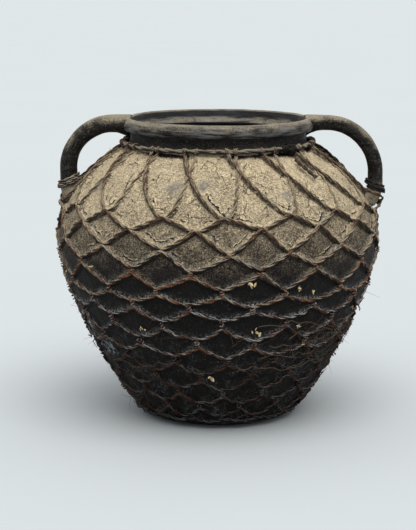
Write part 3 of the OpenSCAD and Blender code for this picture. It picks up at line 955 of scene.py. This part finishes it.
def crust(name, low, high, step, slot, node):
    """A closed skin on the clay, from one height to another."""
    inside = (OUT_Z > low) & (OUT_Z < high)
    ends = [[np.interp(z, OUT_Z, OUT_R), z] for z in (low, high)]
    line = np.concatenate([ends[:1], OUTLINE[inside], ends[1:]])
    far = far_along(line)
    rows = round(far[-1] / step) + 1
    heights = np.interp(np.linspace(0, far[-1], rows), far, line[:, 1])
    angles = np.arange(CRUST_COLUMNS) * 360 / CRUST_COLUMNS
    a, z = np.tile(angles, rows), np.repeat(heights, CRUST_COLUMNS)
    thick, fields = crust_relief(a, z)
    feather = ease(z, CRUST_LOW, CRUST_LOW + 5) * (1 - ease(z, CRUST_HIGH - 1.5, CRUST_HIGH))
    thick = np.maximum(0.2, thick) * (0.15 + 0.85 * feather)
    outer = on_pot(a, z, thick)
    skips = np.unique(np.concatenate([np.arange(0, rows, 10), [rows - 1]]))
    inner = on_pot(np.tile(angles, len(skips)), np.repeat(heights[skips], CRUST_COLUMNS), -0.5)
    build = Build()
    build.add(np.concatenate([outer, inner]),
              grid_faces(rows, CRUST_COLUMNS),
              grid_faces(len(skips), CRUST_COLUMNS, len(outer), True),
              *crust_edges(rows, len(skips), len(outer)))
    piece = build.piece(name, CRUST, slot, node)
    for field, values in fields.items():
        carry(piece.data, field, np.concatenate([values, np.zeros(len(inner))]))


def crust_edges(rows, inner_rows, start):
    """Closes the gap between the outer and the inner face, at the bottom and the top."""
    j = np.arange(CRUST_COLUMNS)
    k = (j + 1) % CRUST_COLUMNS
    top, inner_top = (rows - 1) * CRUST_COLUMNS, start + (inner_rows - 1) * CRUST_COLUMNS
    return (np.stack([k, j, start + j, start + k], axis=1),
            np.stack([top + j, top + k, inner_top + k, inner_top + j], axis=1))


# ---- Wire ----


def strand(build, path, closed, turn, rubbed=0.0):
    """The netting's wire: two strands, slowly twisted, bare where they stand out. rubbed is
    added to the bareness everywhere."""
    stands = height_over_clay(path)
    path = path + 0.35 * sway(path, 7, 20)
    bare = ease(stands, INNER_LIE + 0.8, OUTER_LIE) + 0.5 * bumps(path, 14, 23) + rubbed
    build.twisted(path, STRAND_R, NET_LAY, closed, turn, uneven=0.22, worn=bare)


def hitch(build, centre, along, out, radius, wire_r, turns=1.6, spread=1.1, worn=0.0):
    """A few turns of wire round something that runs along a direction."""
    across = np.cross(along, out)
    steps = max(8, round(12 * turns))
    a = TURN * turns * (np.arange(steps + 1) / steps - 0.5)
    shift = (a / TURN) * spread * 2 * wire_r
    path = centre + radius * wound(a, out, across) + shift[:, None] * along
    build.tube(path, wire_r, sides=6, up=along, worn=worn)


def row_knots(build, k):
    """What holds row k to the row above: a few turns of wire, or a long hitch lower down."""
    path = ROW_PATHS[k]
    drop = hitch_drop(k)
    for m in range(MESHES):
        a, z = knot(k - 1, m)
        if drop > HOOK:
            long_hitch(build, a, z, drop)
            continue
        spot = on_pot(a, z + 0.4 * HOOK, (INNER_LIE + OUTER_LIE) / 2)
        i = int(np.argmin(np.linalg.norm(path - spot, axis=1)))
        along = unit(path[(i + 2) % len(path)] - path[i - 2])
        side = 1 if rng.random() < 0.5 else -1
        centre = path[(i + 2 * side) % len(path)] - 0.9 * outward(a, z)
        tilt = unit(along + 0.5 * rng.normal(size=3) * [1, 1, 1])
        hitch(build, centre, tilt, square_to(outward(a, z), tilt), 2.2 + 0.4 * rng.random(),
              HITCH_WIRE_R, 1.0 + rng.random(), worn=0.8)


def long_hitch(build, a, z, drop):
    """Wire wound round the link that holds the next row below a knot."""
    s = np.linspace(0, 1, 6)
    link = on_pot(a + 0.6 * rng.normal() * s, z + 1 - (drop + 1.5) * s, INNER_LIE + 0.5)
    build.tube(link, 0.85, sides=6, worn=0.9)
    down = unit(unit(link[-1] - link[0]) + 0.22 * rng.normal(size=3))
    out = square_to(outward(a, z), down)
    turns = rng.uniform(1.4, 2.6)
    hitch(build, link.mean(axis=0) + 0.4 * out, down, out, rng.uniform(1.5, 2.2), HITCH_WIRE_R,
          turns, 0.8 * drop / (turns * 2 * HITCH_WIRE_R), worn=rng.uniform(0.5, 1.1))


UP = np.array([0, 0, 1.0])


def on_neck_wire(a):
    return around(NECK_WIRE_R, a, NECK_WIRE_Z)


def net():
    looks = {1: (CAKED, "muddy_wire"), 2: (MUDDY, "muddy_wire"), 3: (RUSTY, "rusty_wire"),
             6: (DARK, "dark_wire"), 9: (LOW, "rusty_wire")}
    build = Build()
    for m, path in enumerate(LOOP_PATHS):
        strand(build, path, False, 1.3 * m)
        for spread in LOOP_SPREAD:
            a = knot(0, m)[0] + spread
            along = unit(np.array([cos(a), sin(a), 0.02 * spread]))
            hitch(build, on_neck_wire(a), along, UP, 2.9, 0.75, 1.2 + rng.random())
    build.piece("net_loops", CAKED, "muddy_wire", "net_row_01")
    look = None
    for k in range(1, len(KNOT_Z)):
        look = looks.get(k, look)
        build = Build()
        strand(build, ROW_PATHS[k], True, 0.9 * k, 0.55 * rise(k, 2, 4))
        row_knots(build, k)
        build.piece(f"net_wire_{k + 1:02d}", *look, f"net_row_{k + 1:02d}")


def ring_path(r, z):
    a = np.linspace(0, 360, round(TURN * r / RING_STEP), endpoint=False)
    return around(r, a, z)


def neck_wire():
    path = ring_path(NECK_WIRE_R, NECK_WIRE_Z)
    path += 0.5 * sway(path, 16, 40)
    build = Build()
    build.twisted(path, 1.7, 31, True, sides=9, uneven=0.45, apart=0.45)
    build.piece("neck_rope", NECK, "dark_wire", "neck_wire")


KNOT_ANGLE, TAIL_Z = 43, 262.0


def neck_knot():
    """The neck wire's ends, wound round it, with a twisted tail and frayed bits."""
    build = Build()
    for i in range(-2, 5):
        a = KNOT_ANGLE + 1.7 * i
        along = unit(np.array([cos(a), sin(a), 0.25 * (-1) ** i]))
        hitch(build, on_neck_wire(a), along, UP, 3.0 + 0.4 * (i % 2), 1.0, 1.3)
    s = np.linspace(0, 1, 16)
    tail = on_pot(KNOT_ANGLE + 3.6 * s, TAIL_Z - 16 * s, OUTER_LIE + 1)
    build.twisted(tail, 1.1, 14, worn=1.2)
    lifted = on_pot(82 + 5 * s, NECK_Z + 3 - 22 * s, 2.6 + 4.2 * np.sin(math.pi * s))
    build.twisted(lifted, 0.8, 14)
    out = outward(KNOT_ANGLE, TAIL_Z)
    ball = on_neck_wire(KNOT_ANGLE + 3) + 2.5 * out - [0, 0, 3.0]
    for _ in range(18):
        way = unit(rng.normal(size=3))
        square = unit(np.cross(way, rng.normal(size=3)))
        hitch(build, ball + rng.normal(0, 1.1, 3), way, square, 2.4 + 2.6 * rng.random(), 0.65, 1.3)
    for _ in range(40):
        way = unit(rng.normal(size=3) + 0.4 * out)
        hair(build, ball + 3.0 * way, way, 2.5 + 3 * rng.random(), 0.3)
    build.piece("neck_knot_ends", BLACK, "dark_wire", "neck_wire_knot")


def base_ring():
    z = KNOT_Z[-1] - WANDER - 2 * WIRE_R - 1.5
    place = on_pot(90.0, z, INNER_LIE)
    path = ring_path(place[0], place[2])
    a = np.degrees(np.arctan2(path[:, 0], -path[:, 1]))
    path[:, 2] += 1.2 * sin(a * MESHES)
    build = Build()
    build.twisted(path, STRAND_R, 18, True)
    build.piece("base_ring", LOW, "rusty_wire", "base_wire")


def tie(name, node, sign, reach, thick, low, look, slot):
    """Wire wound round a handle's foot, sloping down outward."""
    build = Build()
    turns, steps = 3.4, 34
    t = np.linspace(0, 1, round(turns * steps))
    a = 360 * turns * t + 200
    r = (thick / 2 + WIRE_R + 0.3) / cos(TIE_SLOPE) + 0.3 * np.sin(5 * t)
    y = r * sin(a) + STRAP / 2 * np.tanh(4 * sin(a))
    x = sign * (reach + r * cos(a) * cos(TIE_SLOPE))
    z = low + 6.5 * t + 0.8 * np.sin(7 * t) - r * cos(a) * sin(TIE_SLOPE)
    path = np.stack([x, y, z], axis=1)
    path += 0.4 * sway(path, 8, 50)
    build.twisted(path, 0.68, 15)
    build.piece(name, look, slot, node)


def splice():
    """Fine wire lashed round a strand of the fifth row, with a few more turns at one end."""
    path = mesh_wire(4, 0, np.linspace(-0.94, -0.62, 60))
    along, out, across = directions(path, False)
    t = np.linspace(0, 1, len(path))
    a = TURN * 6.5 * t
    r = 2.1 + 0.25 * np.sin(9 * t)
    coil = path + r[:, None] * wound(a, out, across)
    build = Build()
    build.tube(soften(coil, False, 1), 0.75, sides=6, up=along)
    hitch(build, path[4], along[4], out[4], 3.0, 0.8, 2.3)
    build.piece("splice_lashing", MUDDY, "muddy_wire", "net_splice")


# ---- Loose bits ----

# Straw stuck in the crusts: (angle, height, length, turn)
FLAKES = (
    (11, 161, 8, 100), (15, 112, 8, 95), (-3, 63, 6, 30), (29, 154, 5, 20), (35, 149, 4, 60),
    (32, 115, 5, 80), (37, 97, 5, 45), (-30, 113, 6, 50), (-48, 169, 5, 15), (65, 120, 6, 70),
    (110, 138, 7, 30), (150, 95, 6, 80), (195, 150, 8, 10), (235, 117, 6, 60), (285, 150, 7, 40))
# Roots matted over the net: (start angle, start height, end angle, end height, bow)
ROOTS = (
    (14, 120, 50, 110, 6), (20, 98, 60, 112, -7), (18, 86, 48, 78, 5), (28, 106, 70, 90, 8),
    (30, 72, 66, 88, -6), (8, 74, 40, 64, 5), (-66, 96, -34, 84, 6), (-58, 74, -20, 82, -5),
    (88, 108, 126, 96, 7), (140, 84, 176, 100, -6), (205, 104, 244, 90, 6), (262, 84, 300, 98, -7))


def chip(build, centre, along, across, out, length, width):
    """A small curled chip of straw."""
    rings, sides = 6, 4
    s = np.linspace(-0.5, 0.5, rings)
    line = centre + length * s[:, None] * along + (length * 0.5 * s * s)[:, None] * out
    wide = width * (1 - 0.8 * np.abs(2 * s) ** 3) * rng.uniform(0.7, 1.1, rings)
    curl = 0.35 * wide[:, None] * out
    ring = [line + wide[:, None] * across + curl, line + 0.3 * out,
            line - wide[:, None] * across + curl, line - 0.2 * out]
    points = np.stack(ring, axis=1).reshape(-1, 3)
    end = np.arange(sides)[None]
    build.add(points, tube_faces(rings, sides)[:, ::-1], end, len(points) - sides + end[:, ::-1])


def straw():
    """Flakes of straw, each a few torn chips that cling together."""
    build = Build()
    for a, z, length, turn in FLAKES:
        out = outward(a, z)
        level = np.array([cos(a), sin(a), 0.0])
        for i in range(4):
            angle = turn + rng.normal(0, 40)
            along = cos(angle) * level + sin(angle) * np.cross(out, level)
            lifted = unit(out + 0.4 * rng.normal(size=3))
            along = square_to(along, lifted)
            centre = on_pot(a, z, 3.2 + 0.5 * i) + rng.normal(0, 0.25 * length, 3) * (i > 0)
            size = length * rng.uniform(0.6, 1.1) * (0.65 if i else 1)
            width = size * rng.uniform(0.18, 0.3)
            chip(build, centre, along, np.cross(lifted, along), lifted, size, width)
    build.piece("straw_bits", STRAW, "straw", "straw_flakes")


def fibre(build, a, z, a2, z2, bow, lie, r, stray=2.0):
    s = np.linspace(0, 1, 22)
    angles, heights = a + (a2 - a) * s, z + (z2 - z) * s + bow * np.sin(math.pi * s)
    path = on_pot(angles, np.clip(heights, 4, 262), lie)
    path = path + stray * sway(path, 9, 30) + 0.5 * stray * sway(path, 4, 33)
    path[:, 2] = np.maximum(path[:, 2], 1.2)
    build.tube(path, r * (1 - 0.5 * s), sides=5)


def hair(build, start, way, length, r):
    """A stray end that stands off the pot and curls."""
    t = np.linspace(0, 1, 7)[:, None]
    path = start + length * (way * t + 0.5 * rng.normal(size=3) * t * t)
    path[:, 2] = np.maximum(path[:, 2], 1.0)
    build.tube(path, r * (1.2 - t[:, 0]), sides=4)


def roots():
    """Roots over the net, with short ones matted beside them and stray hairs."""
    build = Build()
    for n, (a, z, a2, z2, bow) in enumerate(ROOTS):
        fibre(build, a, z, a2, z2, bow, OUTER_LIE + 1.0 + 0.5 * (n % 3), 0.6, 3.0)
    for a, z, size in BARK_PATCHES:
        for _ in range(42):
            da, dz = rng.normal(0, 0.2 * size), rng.normal(0, 0.5 * size)
            turn, length = rng.normal(20, 45), rng.uniform(3, 11)
            a1, z1 = a + da, np.clip(z + dz, 8, 130)
            fibre(build, a1, z1, a1 + length * cos(turn), z1 + length * 1.6 * sin(turn),
                  rng.normal(0, 3), rng.uniform(2.0, OUTER_LIE + 1), rng.uniform(0.25, 0.6))
    for _ in range(150):
        a, z = rng.uniform(0, 360), rng.uniform(6, 112)
        fibre(build, a, z, a + rng.normal(0, 5), max(5, z + rng.normal(0, 9)), rng.normal(0, 3),
              rng.uniform(1.8, 5.5), rng.uniform(0.2, 0.45))
    for _ in range(140):
        a, z = rng.uniform(0, 360), rng.uniform(6, 130)
        way = unit(outward(a, z) + 0.9 * rng.normal(size=3))
        hair(build, on_pot(a, z, 2.0), way, rng.uniform(5, 12), 0.2)
    for a in (-92, -89):
        hair(build, on_pot(a, TAIL_Z, 1.5), unit(outward(a, TAIL_Z) + [-0.5, 0, 0]), 5.5, 0.6)
    build.piece("root_mat", ROOT, "root", "root_fibres")


# ---- Stage, light and camera ----


SKY_LOW, SKY_HIGH, SKY_STRENGTH = (0.25, 0.27, 0.29, 1), (1.0, 1.0, 1.0, 1), 1.75
SUN_COLOUR, SUN_STRENGTH, SUN_SPREAD = (1.0, 0.98, 0.95), 2.6, 50
FLOOR_R = 60  # in metres
# Metres in front of the pot's middle and above the floor, and degrees downwards and sideways
EYE_AWAY, EYE_HIGH, EYE_DOWN, EYE_TURN = 1.6, 0.451, 10.675, 0.358
LENS, SENSOR = 108.8, 36


def stage_and_light():
    s = Shade("pale_floor")
    tone = s.mix(s.noise(400, 2), (158, 163, 165), (161, 166, 168))
    s.finish(tone, 0.95, 0.1)
    bpy.ops.mesh.primitive_circle_add(vertices=64, radius=FLOOR_R, fill_type="NGON")
    floor = bpy.context.active_object
    floor.name = "floor"
    floor.data.materials.append(s.material)

    world = bpy.data.worlds.new("studio")
    bpy.context.scene.world = world
    world.use_nodes = True
    nodes, links = world.node_tree.nodes, world.node_tree.links
    sky = nodes["Background"]
    place = nodes.new("ShaderNodeTexCoord").outputs["Generated"]
    parts = nodes.new("ShaderNodeSeparateXYZ")
    ramp = nodes.new("ShaderNodeValToRGB")
    for stop, at, colour in zip(ramp.color_ramp.elements, (0.0, 0.95), (SKY_LOW, SKY_HIGH)):
        stop.position, stop.color = at, colour
    links.new(place, parts.inputs[0])
    links.new(parts.outputs[2], ramp.inputs[0])
    links.new(ramp.outputs[0], sky.inputs[0])
    sky.inputs[1].default_value = SKY_STRENGTH

    sun = bpy.data.lights.new("soft_key", "SUN")
    sun.energy = SUN_STRENGTH
    sun.angle = math.radians(SUN_SPREAD)
    sun.color = SUN_COLOUR
    key = bpy.data.objects.new("soft_key", sun)
    key.rotation_euler = (math.radians(24), math.radians(8), 0)
    bpy.context.scene.collection.objects.link(key)


def camera():
    """Where the photographer stood, in front of the pot and looking down a little."""
    lens = bpy.data.cameras.new("view")
    lens.lens, lens.sensor_width = LENS, SENSOR
    view = bpy.data.objects.new("view", lens)
    view.location = (0, -EYE_AWAY, EYE_HIGH)
    view.rotation_euler = (math.radians(90 - EYE_DOWN), 0, math.radians(EYE_TURN))
    bpy.context.scene.collection.objects.link(view)
    bpy.context.scene.camera = view
    bpy.context.scene.view_settings.view_transform = "Standard"


camera()
stage_and_light()
pot_body()
neck_and_rim()
handle("left_handle", "handle_left", 60)
handle("right_handle", "handle_right", 64)
crust("soot_crust", CRUST_LOW, BELLY_Z, SOOT_STEP, "soot_crust", "soot_coat")
crust("mud_crust", BELLY_Z, CRUST_HIGH, MUD_STEP, "dried_mud", "mud_coat")
net()
neck_wire()
neck_knot()
base_ring()
tie("left_tie", "handle_tie_left", -1, LEFT_REACH, LEFT_T, LEFT_TIE_Z, RUSTY, "rusty_wire")
tie("right_tie", "handle_tie_right", 1, RIGHT_REACH, RIGHT_T, RIGHT_TIE_Z, BLACK, "rusty_wire")
splice()
straw()
roots()
